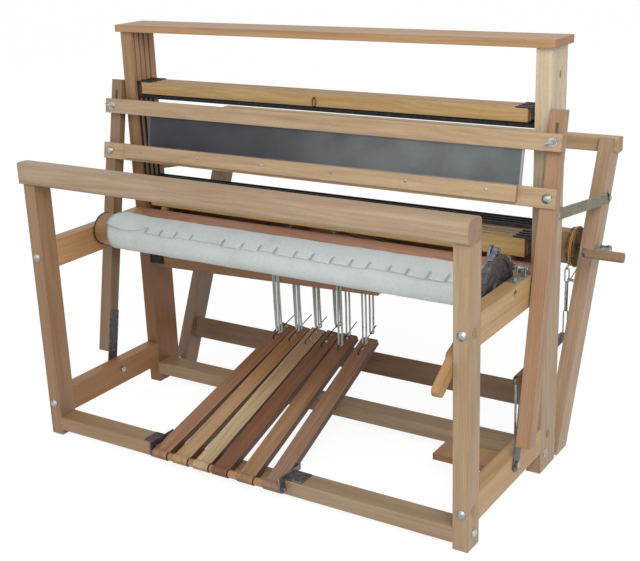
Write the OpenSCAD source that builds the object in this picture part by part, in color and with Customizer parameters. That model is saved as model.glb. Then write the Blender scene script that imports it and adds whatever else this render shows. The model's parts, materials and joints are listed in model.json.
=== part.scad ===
// Folding four-harness jack loom with six treadles, millimetres, +Z up.
// X runs across the loom to the weaver's right, Y runs from the weaver to the back.
// Sizes are given from the middle of the frame's width and the front face of the front posts.

/* [Frame] */
// Width over the outer faces of the two side frames
frame_w = 1356; // [1200:1:1500]
// Thickness of the side frame timbers
side_t = 40; // [34:1:44]
// Depth of a front post
post_d = 60; // [50:1:80]
// Height of the front posts
front_h = 758; // [700:1:800]
// Distance from the front of the loom to the castle
castle_y = 446; // [430:1:470]
// Depth of a castle post
castle_d = 102; // [98:1:120]
// Height of the castle posts
castle_h = 1125; // [1100:1:1200]
// Thickness of the castle cap
cap_t = 20; // [14:1:30]
// Overhang of the castle cap on every side
cap_over = 11; // [4:1:20]
// Height of the lower rails above the floor
low_rail_z = 61; // [50:1:70]
// Height of a lower rail's section
low_rail_h = 73; // [66:1:90]
// Height of the upper rails above the floor
up_rail_z = 508; // [500:1:520]
// Height of an upper rail's section
up_rail_h = 78; // [60:1:84]
// Height of a crossbar's section
cross_h = 40; // [34:1:50]
// Depth of a crossbar's section
cross_d = 60; // [50:1:66]
// Height of the front crossbar above the floor
front_cross_z = 17; // [10:1:20]
// Height of the castle crossbar above the floor
castle_cross_z = 28; // [20:1:40]

/* [Breast beam] */
// Depth of the breast beam
breast_d = 70; // [62:1:76]
// Height of the breast beam
breast_h = 58; // [50:1:66]
// Rounding of the breast beam's long edges
breast_r = 17; // [10:1:22]
// How far the breast beam stands past the left post
breast_over = 23; // [10:1:40]

/* [Back frame] */
// Width of a back leg
leg_w = 64; // [56:1:70]
// Lean of the back legs from upright, in degrees
leg_lean = 23.8; // [20:0.1:26]
// Height of the tops of the back legs
leg_h = 815; // [800:1:840]
// Height of the fold hinge above the floor
fold_z = 40; // [36:1:50]
// Depth of the back beam
back_beam_d = 36; // [30:1:40]
// Height of the back beam
back_beam_h = 43; // [36:1:50]
// How far the back beam stands past each leg
back_beam_over = 12; // [4:1:20]

/* [Warp beam] */
// Distance along the legs from the floor to the warp beam's axis
warp_up = 570; // [560:1:580]
// Width of the octagonal warp beam across its flats
warp_flats = 94; // [80:1:100]
// Radius of the brake drum
drum_r = 56; // [52:1:60]
// Width of the brake drum
drum_w = 22; // [18:1:24]
// Radius of the beam shafts
shaft_r = 9; // [7:0.5:11]
// Length of the crank arm between its two axes
crank_len = 200; // [150:1:210]
// Length of the crank handle
handle_len = 100; // [80:1:110]
// Radius of the crank handle
handle_r = 13.5; // [11:0.5:16]

/* [Cloth beam] */
// Distance of the cloth beam's axis from the front of the loom
cloth_y = 254; // [248:1:262]
// Height of the cloth beam's axis
cloth_z = 571; // [566:1:576]
// Radius of the wooden cloth beam
cloth_r = 46; // [40:1:48]
// Thickness of the rolled canvas apron
apron_t = 9; // [6:0.5:12]
// Outer radius of the ratchet wheel
ratchet_r = 90; // [84:1:94]
// Number of teeth on the ratchet wheel
ratchet_teeth = 60; // [60:12:84]

/* [Beater] */
// Lean of the resting beater from upright, in degrees
beater_lean = 10.8; // [9:0.1:11.5]
// Distance of the beater's pivot from the front of the loom
beater_y = 276; // [270:1:282]
// Height of the beater's pivot
beater_z = 108; // [100:1:110]
// Width of a sword across the loom
sword_w = 38; // [30:1:42]
// Depth of the lower part of a sword
sword_d = 38; // [34:1:44]
// Length of the swords from the pivot to their tops
sword_len = 890; // [880:1:920]
// Thickness of the beater bars
bar_t = 20; // [18:1:24]
// Height of the lower beater bar
low_bar_h = 48; // [40:1:52]
// Height of the upper beater bar
up_bar_h = 43; // [36:1:50]
// Height of the reed's opening between the beater bars
reed_open = 89; // [80:1:94]
// Number of gaps between the reed's dents
reed_gaps = 110; // [60:10:120]

/* [Harnesses] */
// Spacing of the harnesses from front to back
harness_pitch = 21; // [20:0.5:22]
// Height of the harness frames
harness_h = 379; // [370:1:390]
// Rest height of the harness frames above the floor
harness_z = 597; // [594:1:610]
// Half width of the harness bars
harness_half = 617; // [600:1:622]
// Lift of a harness
lift = 64; // [50:1:74]

/* [Treadles] */
// Width of a treadle
treadle_w = 50; // [44:1:52]
// Thickness of a treadle
treadle_t = 19; // [16:1:22]
// Height of the treadles' rear ends
treadle_rear_z = 262; // [250:1:270]
// Distance of the treadles' rear ends from the front of the loom
treadle_rear_y = 505; // [495:1:510]
// Positions of the six treadles along their hinge rod
treadle_front = [-243, -171, -100, -37, 47, 131]; // [-300:1:300]
// Positions of the six treadles' rear ends across the loom
treadle_rear = [-150, -98, -45, 9, 61, 128]; // [-300:1:300]

/* [Brake] */
// Position of the brake across the loom
brake_x = 614; // [606:1:618]
// Travel of the brake lever's rear end
brake_travel = 30; // [20:1:32]

/* [Hidden] */
$fn = 48;

// Gaps and fits
gap = 0.3;      // between pieces that move past each other
fit = 0.05;     // between a shaft and its bore, on the radius
eps = 1;        // how far a cutting solid runs past a face

// Frame
half_w = frame_w / 2;
in_w = half_w - side_t;
castle_back = castle_y + castle_d;
up_rail_top = up_rail_z + up_rail_h;
low_rail_top = low_rail_z + low_rail_h;
bolt_r = 5;
nut_r = 9;
nut_t = 6;
washer_r = 12;
washer_t = 1.6;

// Breast beam
breast_y0 = post_d - breast_d - 4;
breast_right = 2;

// Back frame, hinged behind the castle posts
fold_y = castle_back + 8;
foot_y = fold_y + 46;
leg_half = leg_w / 2;
leg_long = leg_h / cos(leg_lean);
back_beam_y = foot_y + leg_h * tan(leg_lean) - leg_half / cos(leg_lean) + 10;
back_beam_z = leg_h - 40;
rear_cross_up = 100;
rear_cross_len = 66;
rear_cross_t = 38;

// Warp beam and crank
warp_y = foot_y + warp_up * sin(leg_lean) + 3.3;
warp_z = warp_up * cos(leg_lean) - 1.5;
drum_x = brake_x - drum_w / 2;
warp_left = 630;
warp_right = drum_x - 1;
crank_x = half_w + 26;
crank_t = 9;
crank_rise = 14;
crank_y = warp_y - crank_len * cos(crank_rise);
crank_z = warp_z + crank_len * sin(crank_rise);

// Cloth beam
wheel_t = 14;
wheel_x = in_w - 4 - wheel_t;
lever_t = 6;
lever_x = wheel_x - 3 - lever_t;
cloth_left = 630;
cloth_right = lever_x - 9;
apron_left = 612;
tooth_h = 4.5;
pawl_up = ratchet_r + 11;
pawl_t = wheel_t - 2;
pawl_gap = 0.8;
lever_knee = [-64, 4];
lever_tip = [-226, -90];
lever_grip = [-305, -141];
lever_grip_w = 32;
pin_r = 4;

// Beater, laid out along and across its own lean
sword_x = half_w + 4;
sword_front = -20;
sword_back = sword_front + sword_d;
sword_foot = 51;
rest_t = -5;
low_bar_s = 652;
low_bar_top = low_bar_s + low_bar_h;
up_bar_s = low_bar_top + reed_open;
bar_half = sword_x + sword_w + 4;
groove_d = 8;
reed_t = 5;
reed_x = -558;
reed_len = 1187;
race_t = 12;
race_h = 40;
race_gaps = [6, 12];
plate_t = 3;
plate_foot = 18;
plate_top = 180;
slide_up = 25;
wing_bolt_r = 3.5;

// Harnesses, jacks and lamms
harness_t = 14;
harness_first = castle_y + 13;
harness_bar_h = 34;
harness_low_h = 48;
rod_r = 3;
rod_in = 1.5;
strap_t = 3;
jack_x = 320;
jack_z = 535;
jack_t = 12;
jack_out = 250;
jack_h = 22;
jack_turn = lift / jack_out * 180 / PI;
left_in = 220;
lamm_x = -600;
lamm_z = 423;
lamm_slope = 1.9;
lamm_h = 50;
lamm_end = 183;
lamm_turn = jack_turn * left_in / (left_in - jack_x - lamm_x);
right_in = lamm_turn * (jack_x - lamm_x) / (jack_turn + lamm_turn);

// Treadles
hinge_y = -14;
hinge_z = 40;
hinge_r = 4.5;
nose_r = 13.5;
spacer_gap = 2.8;
treadle_rise = atan2(treadle_rear_z - hinge_z, treadle_rear_y - hinge_y);
treadle_len = norm([treadle_rear_z - hinge_z, treadle_rear_y - hinge_y]);
hook_r = 1.5;
hook_up = 10;
hook_len = 115;
cord_r = 1.5;
loop_r = 7;
peg_r = 2;

// Brake: pedal on the right lower rail, rod, lever on the right castle post, chain to the cable
pedal_y = 150;
pedal_z = 78;
rod_y = 423;
pedal_end = [rod_y + 6, pedal_z + 6];
pedal_h = 26;
brake_y = castle_y + castle_d - 13;
brake_z = 272;
chain_y = warp_y - drum_r - 8.4;
eye_r = 3;
link_r = 2;
link_w = 6;
ring_z = 476;
buckle_drop = 128;
buckle_len = 86.5;
buckle_r = 5;
cable_r = 1.6;
cable_turn = drum_r + cable_r + 0.4;
cable_shift = 7;
anchor = [761, 445];

// Braces
brace_y = castle_y + 48;
brace_z = 705;
brace_drop = 160;
brace_end = [foot_y + (leg_h - brace_drop) * tan(leg_lean) + 6, leg_h - brace_drop];
brace_mouth = 132;

// Pawl and bumper places
pawl_y = 350;
pawl_z = up_rail_top + 17;
bumper_z = 904;
bumper_len = 21;

// Overall size, which puts the origin under the middle of the loom
mid_x = (crank_x + crank_t + handle_len - bar_half) / 2;
mid_y = (foot_y + back_beam_z * tan(leg_lean) + leg_half / cos(leg_lean)
    + cloth_y + lever_grip.x - lever_grip_w / 2) / 2;

function harness_y(k) = harness_first + (k - 1) * harness_pitch;
function lamm_height(x) = lamm_z + (x - lamm_x) * tan(lamm_slope);
function treadle_x(k, y) = treadle_front[k - 1]
    + (treadle_rear[k - 1] - treadle_front[k - 1]) * (y - hinge_y) / (treadle_rear_y - hinge_y);
// A treadle above the fourth works every other lamm
function first_lamm(t) = t > 4 ? t - 4 : t;
function treadle_drop(t) = let (y = harness_y(first_lamm(t)))
    lamm_turn * (treadle_x(t, y) - lamm_x) / (y - hinge_y);

// Places a finished piece in the part's frame
module piece(tone) {
    color(tone) translate([-mid_x, -mid_y, 0]) children();
}

module both_sides() {
    children();
    mirror([1, 0, 0]) children();
}

// A block given by its lowest and highest corners
module block(low, high) {
    translate(low) cube(high - low);
}

module rod_along_x(r, x0, x1, y, z) {
    translate([x0, y, z]) rotate([0, 90, 0]) cylinder(r = r, h = x1 - x0);
}

module rod_along_y(r, y0, y1, x, z) {
    translate([x, y1, z]) rotate([90, 0, 0]) cylinder(r = r, h = y1 - y0);
}

// Extrudes an outline drawn in Y and Z along X
module side_plate(x0, x1) {
    translate([x0, 0, 0]) rotate([90, 0, 90]) linear_extrude(x1 - x0) children();
}

// Extrudes an outline drawn in X and Z along Y
module face_plate(y0, y1) {
    translate([0, y1, 0]) rotate([90, 0, 0]) linear_extrude(y1 - y0) children();
}

// Rectangle with rounded corners between two corners
module round_rect(low, high, r) {
    translate([low.x + r, low.y]) square([high.x - low.x - 2 * r, high.y - low.y]);
    translate([low.x, low.y + r]) square([high.x - low.x, high.y - low.y - 2 * r]);
    for (x = [low.x + r, high.x - r], y = [low.y + r, high.y - r]) translate([x, y]) circle(r);
}

// Straight bar between two points, its round ends a hair wider
module bar_2d(a, b, w) {
    d = b - a;
    translate(a) rotate(atan2(d.y, d.x)) translate([0, fit - w / 2]) square([norm(d), w - 2 * fit]);
    translate(a) circle(w / 2);
    translate(b) circle(w / 2);
}

module hex_nut(r, t) {
    cylinder(r = r, h = t, $fn = 6);
}

// Frame

module front_posts() piece("BurlyWood") {
    both_sides() block([in_w, 0, 0], [half_w, post_d, front_h]);
}

module castle_posts() piece("BurlyWood") {
    both_sides() difference() {
        block([in_w, castle_y, 0], [half_w, castle_back, castle_h]);
        for (k = [1:4])
            block([in_w - eps, harness_y(k) - rod_r - gap, harness_z],
                [in_w + rod_in + rod_r + gap, harness_y(k) + rod_r + gap, castle_h + eps]);
    }
}

module side_rails() piece("BurlyWood") {
    both_sides() {
        difference() {
            block([in_w, post_d, low_rail_z], [half_w, castle_y, low_rail_top]);
            rod_along_x(bolt_r + fit, in_w - eps, half_w + eps, beater_y, beater_z);
        }
        difference() {
            block([in_w, post_d, up_rail_z], [half_w, castle_y, up_rail_top]);
            rod_along_x(shaft_r + fit, in_w - eps, half_w + eps, cloth_y, cloth_z);
        }
    }
}

module castle_cap() piece("Peru") {
    block([-half_w - cap_over, castle_y - cap_over, castle_h],
        [half_w + cap_over, castle_back + cap_over, castle_h + cap_t]);
}

module breast_beam() piece("BurlyWood") {
    intersection() {
        side_plate(-half_w - breast_over, half_w + breast_right)
            round_rect([breast_y0, front_h], [breast_y0 + breast_d, front_h + breast_h], breast_r);
        translate([0, 0, front_h - eps]) linear_extrude(breast_h + 2 * eps)
            round_rect([-half_w - breast_over, breast_y0], [half_w + 2 * breast_d, breast_y0 + breast_d],
                breast_d / 2 - eps);
    }
}

// Crossbars at the foot of the front posts and of the castle posts
module crossbars() piece("BurlyWood") {
    low = treadle_rise - max([for (t = [1:6]) treadle_drop(t)]) - 1;
    under = (treadle_t / 2 + 2) / cos(low);
    difference() {
        block([-in_w, 0, front_cross_z], [in_w, cross_d, front_cross_z + cross_h]);
        side_plate(treadle_front[0] - treadle_w / 2 - 2, treadle_front[5] + treadle_w / 2 + 2)
            polygon([[-eps, hinge_z - hinge_y * tan(low) - under],
                [cross_d + eps, hinge_z + (cross_d - hinge_y) * tan(low) - under],
                [cross_d + eps, front_cross_z + cross_h + eps], [-eps, front_cross_z + cross_h + eps]]);
    }
    block([-in_w, castle_y, castle_cross_z], [in_w, castle_y + cross_d, castle_cross_z + cross_h]);
}

// The two boards that carry the jacks' rods, in front of the harnesses and behind them
module jack_boards() piece("Sienna") {
    front = harness_y(1) - harness_t / 2 - 4;
    back = harness_y(4) + harness_t / 2 + 4;
    difference() {
        union() {
            block([-in_w, front - 18, up_rail_z], [in_w, front, up_rail_top]);
            block([-in_w, back, up_rail_z], [in_w, back + 14, up_rail_top]);
        }
        for (x = [-jack_x, jack_x]) rod_along_y(pin_r + fit, front - 18 - eps, back + 14 + eps, x, jack_z);
    }
}

// Hinge rod of the treadles with its spacers and its two brackets on the crossbar
module treadle_hinge() piece("DimGray") {
    first = treadle_front[0] - treadle_w / 2 - 1;
    last = treadle_front[5] + treadle_w / 2 + 1;
    rod_along_x(hinge_r, first - 14, last + 14, hinge_y, hinge_z);
    for (k = [1:5]) difference() {
        rod_along_x(nose_r - 3, treadle_front[k - 1] + treadle_w / 2 + spacer_gap,
            treadle_front[k] - treadle_w / 2 - spacer_gap, hinge_y, hinge_z);
        rod_along_x(hinge_r + fit, treadle_front[k - 1], treadle_front[k], hinge_y, hinge_z);
    }
    top = front_cross_z + cross_h;
    for (side = [[first - 4, first, first - 50, first], [last, last + 4, last, last + 50]]) difference() {
        union() {
            side_plate(side[0], side[1]) difference() {
                union() {
                    translate([hinge_y, hinge_z]) circle(nose_r);
                    translate([hinge_y - nose_r, hinge_z]) square([nose_r * 2 - 5, top + 16 - hinge_z]);
                    translate([hinge_y - nose_r, top]) square([cross_d + 40, 16]);
                }
                translate([hinge_y, hinge_z]) circle(hinge_r + fit);
            }
            block([side[2], 4, top], [side[3], cross_d - 4, top + 4]);
        }
        for (y = [18, cross_d - 18]) translate([(side[2] + side[3]) / 2, y, top - eps])
            cylinder(r = 3, h = 6);
    }
}

// Bolt heads, nuts, pivot bolts, hinge knuckles, jack rods and bumpers held by the front frame
module fasteners() piece("Silver") {
    front = harness_y(1) - harness_t / 2 - 22;
    back = harness_y(4) + harness_t / 2 + 18;
    // Jack rods
    for (x = [-jack_x, jack_x]) rod_along_y(pin_r, front, back, x, jack_z);
    // Lamm rod with its two ears on the left castle post
    rod_along_y(pin_r, castle_y + 2, castle_back - 2, lamm_x, lamm_z);
    for (y = [castle_y + 2, castle_back - 6]) difference() {
        block([-in_w, y, lamm_z - 14], [lamm_x + 12, y + 4, lamm_z + 14]);
        rod_along_y(pin_r + fit, y - eps, y + 5, lamm_x, lamm_z);
    }
    // Beater pivot bolts with their nuts
    both_sides() {
        rod_along_x(bolt_r, in_w - 4, sword_x, beater_y, beater_z);
        translate([in_w - 6, beater_y, beater_z]) rotate([0, 90, 0]) cylinder(r = nut_r, h = 6);
        translate([sword_x, beater_y, beater_z]) rotate([0, 90, 0]) hex_nut(nut_r, nut_t);
    }
    // Post bolts on both side frames
    both_sides() for (p = [[post_d / 2, low_rail_z + low_rail_h / 2], [post_d / 2, up_rail_z + up_rail_h / 2],
            [castle_y + castle_d / 2, low_rail_z + low_rail_h / 2]])
        translate([half_w, p.x, p.y]) rotate([0, 90, 0]) {
            cylinder(r = washer_r, h = washer_t);
            translate([0, 0, washer_t]) hex_nut(nut_r - 2, nut_t - 2);
        }
    // Brace bolts on the castle posts
    both_sides() {
        rod_along_x(bolt_r - 1, half_w, half_w + 9, brace_y, brace_z);
        translate([half_w + 6, brace_y, brace_z]) rotate([0, 90, 0]) hex_nut(nut_r - 1, 5);
    }
    // Fold hinge: knuckles, pin and leaf behind each castle post
    both_sides() {
        rod_along_x(pin_r, in_w + 6, half_w - 6, fold_y, fold_z);
        for (x = [in_w + 6, half_w - 15]) difference() {
            union() {
                rod_along_x(pin_r + 3, x, x + 9, fold_y, fold_z);
                block([x, castle_back, fold_z - 17], [x + 9, castle_back + 3, fold_z + 17]);
                block([x, castle_back, fold_z - 3], [x + 9, fold_y, fold_z + 3]);
            }
            rod_along_x(pin_r + fit, x - eps, x + 10, fold_y, fold_z);
        }
    }
    // Brake pivots
    rod_along_x(bolt_r, brake_x - 12, in_w, pedal_y, pedal_z);
    rod_along_x(bolt_r, brake_x - 12, in_w, brake_y, brake_z);
    // Rubber bumpers for the beater
    both_sides() rod_along_y(10, castle_y - bumper_len, castle_y, in_w + 18, bumper_z);
    // Bracket and pin of the holding pawl on the right upper rail
    block([in_w + 4, pawl_y - 70, up_rail_top], [half_w - 8, pawl_y + 24, up_rail_top + 3]);
    for (x = [in_w + 5, half_w - 14]) difference() {
        block([x, pawl_y - 10, up_rail_top + 3], [x + 4, pawl_y + 10, pawl_z + 8]);
        rod_along_x(pin_r + fit, x - eps, x + 5, pawl_y, pawl_z);
    }
    rod_along_x(pin_r, wheel_x - 2, half_w - 8, pawl_y, pawl_z);
    for (y = [pawl_y - 55, pawl_y + 16]) translate([in_w + 20, y, up_rail_top + 3]) hex_nut(6, 5);
}

// Cloth beam and its brake

module cloth_beam() piece("Peru") {
    rod_along_x(cloth_r, -cloth_left, cloth_right, cloth_y, cloth_z);
    // Gudgeons at its two ends
    rod_along_x(shaft_r, -half_w + 6, -cloth_left - fit, cloth_y, cloth_z);
    rod_along_x(shaft_r, cloth_right + fit, half_w - 6, cloth_y, cloth_z);
    difference() {
        rod_along_x(cloth_r + 2, -cloth_left - 3, -cloth_left - fit, cloth_y, cloth_z);
        rod_along_x(shaft_r + fit, -cloth_left - 4, -cloth_left + eps, cloth_y, cloth_z);
    }
}

module cloth_apron() piece("WhiteSmoke") {
    difference() {
        rod_along_x(cloth_r + apron_t, -apron_left, cloth_right - 2, cloth_y, cloth_z);
        rod_along_x(cloth_r + fit, -apron_left - eps, cloth_right, cloth_y, cloth_z);
    }
}

module tooth_ring(r, h, n) {
    polygon([for (i = [0:n - 1], e = [0, 1])
        let (a = (i + e * 0.8) * 360 / n, q = e == 0 ? r : r - h) [q * cos(a), q * sin(a)]]);
}

module ratchet_wheel() piece("SlateGray") {
    translate([0, cloth_y, cloth_z]) difference() {
        union() {
            side_plate(wheel_x, wheel_x + wheel_t) difference() {
                tooth_ring(ratchet_r, tooth_h, ratchet_teeth);
                circle(ratchet_r - 13);
            }
            rod_along_x(ratchet_r - 12, wheel_x + 4, wheel_x + wheel_t - 4, 0, 0);
            rod_along_x(24, wheel_x, wheel_x + wheel_t, 0, 0);
        }
        rod_along_x(shaft_r + fit, wheel_x - eps, wheel_x + wheel_t + eps, 0, 0);
    }
}

module advance_lever() piece("SlateGray") {
    top = [0, pawl_up];
    translate([0, cloth_y, cloth_z]) {
        difference() {
            union() {
                side_plate(lever_x, lever_x + lever_t) {
                    bar_2d([0, 0], top, 24);
                    bar_2d([0, 0], lever_tip, 24);
                    polygon([[0, 0], top + [-12, 0], lever_knee + [-6, 12], lever_knee + [0, -30]]);
                }
                rod_along_x(22, lever_x - 6, lever_x + lever_t, 0, 0);
            }
            rod_along_x(shaft_r + fit, lever_x - 7, lever_x + lever_t + eps, 0, 0);
            rod_along_x(pin_r + fit, lever_x - eps, lever_x + lever_t + eps, top.x, top.y);
        }
        // Pin of the pawl
        rod_along_x(pin_r, lever_x - 3, wheel_x + wheel_t + 3, top.x, top.y);
        // Wooden handle beside the steel arm
        side_plate(lever_x + lever_t + fit, lever_x + lever_t + 20) bar_2d(lever_tip + [14, 9], lever_grip, lever_grip_w);
    }
}

// A pawl lying from its pin towards the wheel
module pawl(pin, tip) {
    difference() {
        side_plate(wheel_x + 1, wheel_x + 1 + pawl_t) {
            translate(pin) circle(pin_r + 4);
            translate(pin) rotate(atan2(tip.y - pin.y, tip.x - pin.x))
                polygon([[0, pin_r + 1], [0, -pin_r - 2], [norm(tip - pin), -3], [norm(tip - pin), 0]]);
        }
        rod_along_x(pin_r + fit, wheel_x, wheel_x + wheel_t + eps, pin.x, pin.y);
    }
}

function on_wheel(a) = [cloth_y, cloth_z] + (ratchet_r + pawl_gap) * [cos(a), sin(a)];

module advance_pawl() piece("DimGray") {
    pawl([cloth_y, cloth_z + pawl_up], on_wheel(114));
}

module holding_pawl() piece("DimGray") {
    pawl([pawl_y, pawl_z], on_wheel(36));
}

// Beater

module beater_lean() {
    translate([0, beater_y, beater_z]) rotate([-beater_lean, 0, 0]) children();
}

module beater_swords() piece("BurlyWood") beater_lean() {
    both_sides() {
        difference() {
            block([sword_x, sword_front, sword_foot], [sword_x + sword_w, sword_back, sword_len]);
            block([sword_x - eps, sword_front - eps, low_bar_s], [sword_x + sword_w + eps, rest_t, sword_len + eps]);
            block([sword_x + sword_w / 2 - 4, rest_t - eps, up_bar_s + 8],
                [sword_x + sword_w / 2 + 4, sword_back + eps, up_bar_s + up_bar_h + slide_up]);
        }
        // Steel foot plate
        difference() {
            side_plate(sword_x - plate_t - gap, sword_x - gap) {
                translate([sword_front, 0]) square([sword_d, plate_top]);
                translate([(sword_front + sword_back) / 2, 0]) circle(sword_d / 2);
            }
            rod_along_x(bolt_r + fit, half_w, sword_x + eps, 0, 0);
        }
    }
}

module bar_groove(s0, s1) {
    block([reed_x - 3, rest_t - bar_t / 2 - reed_t / 2 - gap, s0],
        [reed_x + reed_len + 3, rest_t - bar_t / 2 + reed_t / 2 + gap, s1]);
}

module lower_beater_bar() piece("BurlyWood") beater_lean() difference() {
    block([-bar_half, rest_t - bar_t, low_bar_s], [bar_half, rest_t, low_bar_top]);
    bar_groove(low_bar_top - groove_d, low_bar_top + eps);
}

module upper_beater_bar() piece("BurlyWood") beater_lean() {
    bolt_x = sword_x + sword_w / 2;
    bolt_s = up_bar_s + up_bar_h / 2;
    difference() {
        block([-bar_half, rest_t - bar_t, up_bar_s], [bar_half, rest_t - gap, up_bar_s + up_bar_h]);
        bar_groove(up_bar_s - eps, up_bar_s + groove_d);
        both_sides() rod_along_y(wing_bolt_r + fit, rest_t - bar_t - eps, rest_t, bolt_x, bolt_s);
    }
    // Bolts through the swords' slots, with their heads behind and their wing nuts in front
    both_sides() {
        rod_along_y(wing_bolt_r, rest_t - bar_t - 14, sword_back + gap + eps, bolt_x, bolt_s);
        rod_along_y(washer_r - 2, sword_back + gap, sword_back + gap + 4, bolt_x, bolt_s);
        translate([bolt_x, rest_t - bar_t - fit, bolt_s]) rotate([90, 0, 0]) {
            cylinder(r = washer_r, h = washer_t);
            translate([0, 0, washer_t]) cylinder(r = 6, h = 9);
            for (a = [20, 200]) rotate(a) translate([4, -1.5, washer_t + 4]) cube([11, 3, 9]);
        }
    }
}

module shuttle_race() piece("BurlyWood") beater_lean() {
    left = -(in_w - race_gaps[0]);
    right = in_w - race_gaps[1];
    block([left, rest_t - bar_t - race_t, low_bar_top - race_h], [right, rest_t - bar_t, low_bar_top]);
}

// Reed in the grooves of the two beater bars
module reed() piece("SlateGray") beater_lean() {
    mid = rest_t - bar_t / 2;
    low = low_bar_top - groove_d + gap;
    high = up_bar_s + groove_d - gap;
    pitch = (reed_len - 12) / reed_gaps;
    difference() {
        block([reed_x, mid - 1.5, low], [reed_x + reed_len, mid + 1.5, high]);
        for (i = [0:reed_gaps - 1])
            block([reed_x + 6 + (i + 0.5) * pitch - 1.9, mid - 2, low_bar_top + 4],
                [reed_x + 6 + (i + 0.5) * pitch + 1.9, mid + 2, up_bar_s - 4]);
    }
    for (side = [[mid - reed_t / 2, mid - 1.5], [mid + 1.5, mid + reed_t / 2]], z = [low, high - groove_d - 2])
        block([reed_x, side[0], z], [reed_x + reed_len, side[1], z + groove_d + 2]);
}

// Back frame

module leg_lean() {
    translate([0, foot_y, 0]) rotate([-leg_lean, 0, 0]) children();
}

module back_legs() piece("BurlyWood") {
    both_sides() {
        difference() {
            intersection() {
                leg_lean() block([in_w, -leg_half, -leg_w], [half_w, leg_half, leg_long + leg_w]);
                block([in_w, castle_y, 0], [half_w, castle_y + 2 * leg_h, leg_h]);
            }
            block([in_w - eps, back_beam_y, back_beam_z], [half_w + eps, back_beam_y + 200, leg_h + eps]);
            rod_along_x(shaft_r + fit, in_w - eps, half_w + eps, warp_y, warp_z);
        }
        // Leaf and knuckle of the fold hinge
        difference() {
            union() {
                rod_along_x(pin_r + 3, in_w + 15.3, half_w - 15.3, fold_y, fold_z);
                side_plate(in_w + 15.3, half_w - 15.3) intersection() {
                    translate([fold_y, fold_z - 4]) square([60, 8]);
                    translate([foot_y, 0]) rotate(-leg_lean) translate([-leg_half - 80, 0])
                        square([80, leg_w * 2]);
                }
            }
            rod_along_x(pin_r + fit, in_w, half_w, fold_y, fold_z);
        }
        // Brace bolt with its nut
        rod_along_x(bolt_r - 1, half_w, half_w + 9, brace_end.x, brace_end.y);
        translate([half_w + 6, brace_end.x, brace_end.y]) rotate([0, 90, 0]) hex_nut(nut_r - 1, 4);
    }
    // Cable anchor on the front of the right leg
    rod_along_x(4, brake_x + 6, in_w, anchor.x, anchor.y);
}

module back_beam() piece("BurlyWood") {
    side_plate(-half_w - back_beam_over, half_w + back_beam_over)
        round_rect([back_beam_y, back_beam_z], [back_beam_y + back_beam_d, back_beam_z + back_beam_h], 5);
}

module rear_crossbar() piece("Peru") {
    leg_lean() block([-in_w, -rear_cross_t / 2, rear_cross_up],
        [in_w, rear_cross_t / 2, rear_cross_up + rear_cross_len]);
}

// Warp beam, brake drum and crank

module warp_beam() piece("Sienna") {
    corner = warp_flats / 2 / cos(22.5);
    translate([-warp_left, warp_y, warp_z]) rotate([0, 90, 0]) rotate(22.5)
        cylinder(r = corner, h = warp_left + warp_right, $fn = 8);
    rod_along_x(shaft_r, -half_w + 6, -warp_left, warp_y, warp_z);
    rod_along_x(shaft_r, warp_right, crank_x + crank_t, warp_y, warp_z);
}

module brake_drum() piece("DimGray") {
    difference() {
        rod_along_x(drum_r, drum_x, drum_x + drum_w, warp_y, warp_z);
        rod_along_x(shaft_r + fit, drum_x - eps, drum_x + drum_w + eps, warp_y, warp_z);
    }
}

module crank_arm() piece("Gray") difference() {
    union() {
        side_plate(crank_x, crank_x + crank_t) {
            bar_2d([warp_y, warp_z], [crank_y, crank_z], 18);
            translate([warp_y, warp_z]) circle(16);
            translate([crank_y, crank_z]) circle(13);
        }
        rod_along_x(14, half_w + 8, crank_x + crank_t, warp_y, warp_z);
    }
    rod_along_x(shaft_r + fit, half_w, crank_x + crank_t + eps, warp_y, warp_z);
    rod_along_x(pin_r + fit, crank_x - eps, crank_x + crank_t + eps, crank_y, crank_z);
}

module crank_handle() piece("Peru") {
    rod_along_x(handle_r, crank_x + crank_t + gap, crank_x + crank_t + handle_len, crank_y, crank_z);
    rod_along_x(pin_r, crank_x - 3, crank_x + crank_t + gap, crank_y, crank_z);
}

// Brake

function arc_points(c, r, a0, a1, n) = [for (i = [0:n]) let (a = a0 + (a1 - a0) * i / n)
    [0, c.x + r * cos(a), c.y + r * sin(a)]];

// Cable from the anchor round the drum and down to the chain
module brake_cable() piece("DarkGoldenrod") {
    lead = norm(anchor - [warp_y, warp_z]);
    start = atan2(anchor.y - warp_z, anchor.x - warp_y) + acos(cable_turn / lead);
    wrap = arc_points([warp_y, warp_z], cable_turn, start, 540, 60);
    n = len(wrap) - 1;
    path = concat([[brake_x + 10, anchor.x, anchor.y - 6]],
        [for (i = [0:n]) [brake_x + cable_shift * (1 - i / n), wrap[i].y, wrap[i].z]],
        [[brake_x, warp_y - cable_turn, ring_z + 10], [brake_x, warp_y - cable_turn, ring_z],
        [brake_x, warp_y - cable_turn - 3, ring_z - 5], [brake_x, warp_y - cable_turn - 9, ring_z - 5],
        [brake_x, warp_y - cable_turn - 12, ring_z], [brake_x, warp_y - cable_turn - 12, ring_z + 8]]);
    swept(path, cable_r, 8);
}

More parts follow.
